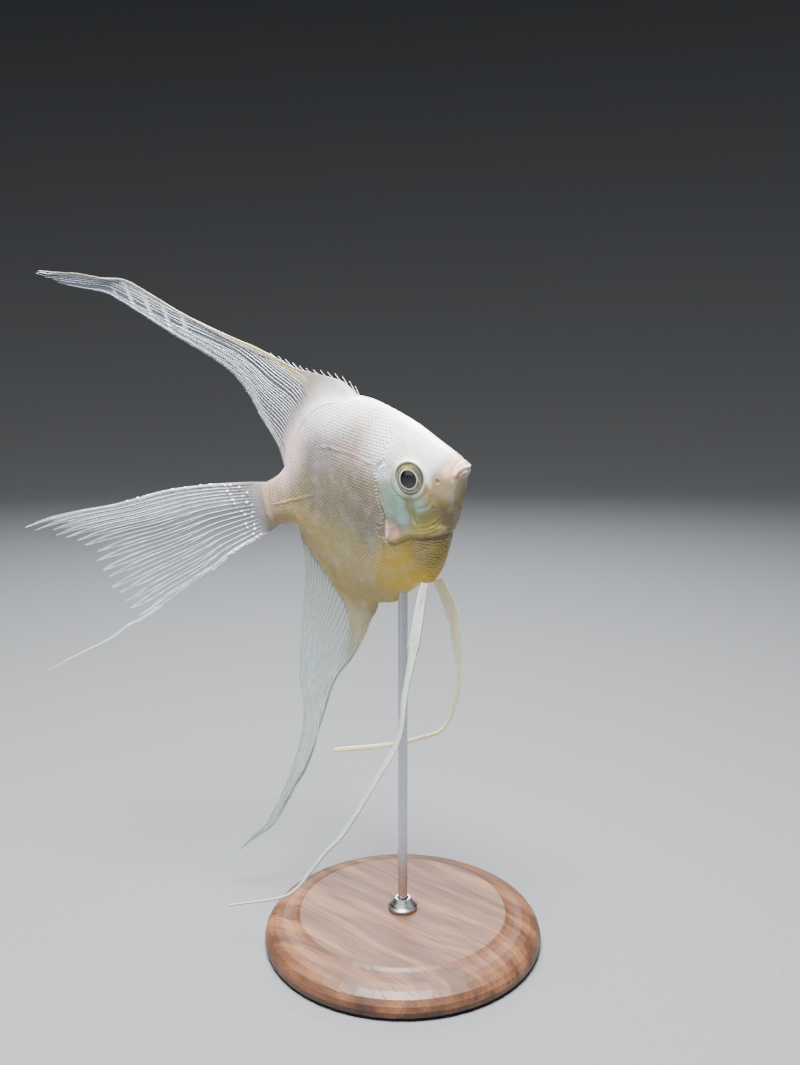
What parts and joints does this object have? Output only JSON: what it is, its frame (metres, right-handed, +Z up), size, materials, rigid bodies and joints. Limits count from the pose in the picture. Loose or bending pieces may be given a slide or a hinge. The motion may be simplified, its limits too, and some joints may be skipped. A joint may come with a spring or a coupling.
{
  "type": "freshwater angelfish model",
  "caption": "Life-size still model of a pale freshwater angelfish with long swept fins and trailing feelers, swimming nose-up on a round wooden base with a slim steel rod.",
  "frame": {"origin": "middle of the stand base's flat underside, on the rod's axis", "axes": "+Z up along the rod, +X the way the fish heads, +Y to the fish's left"},
  "size_m": [0.1402, 0.0798, 0.173],
  "materials": {
    "pearl_head": "painted pearl-white skin, wet gloss, blue-green sheen on the cheek",
    "pearl_trunk": "painted pearl-white scales, golden on the belly, wet gloss",
    "eye": "clear domed eye over a black pupil and a pale gold ring",
    "fin": "thin blue-grey membrane between white rays",
    "clear_fin": "nearly clear membrane with fine rays",
    "feeler": "milk-white rays, satin",
    "walnut": "turned walnut, satin varnish",
    "satin_steel": "fine-brushed satin"
  },
  "bodies": {
    "root": {"head": "pearl_head", "trunk": "pearl_trunk", "tail_stem": "pearl_trunk", "gill_cover_right": "pearl_head", "gill_cover_left": "pearl_head", "eye_right": "eye", "eye_left": "eye", "dorsal_fin": "fin", "anal_fin": "fin", "tail_fin": "fin", "pectoral_fin_right": "clear_fin", "pectoral_fin_left": "clear_fin", "pelvic_fin_right": "feeler", "pelvic_fin_left": "feeler", "stand_base": "walnut", "stand_collar": "satin_steel", "stand_rod": "satin_steel"}
  },
  "joints": []
}
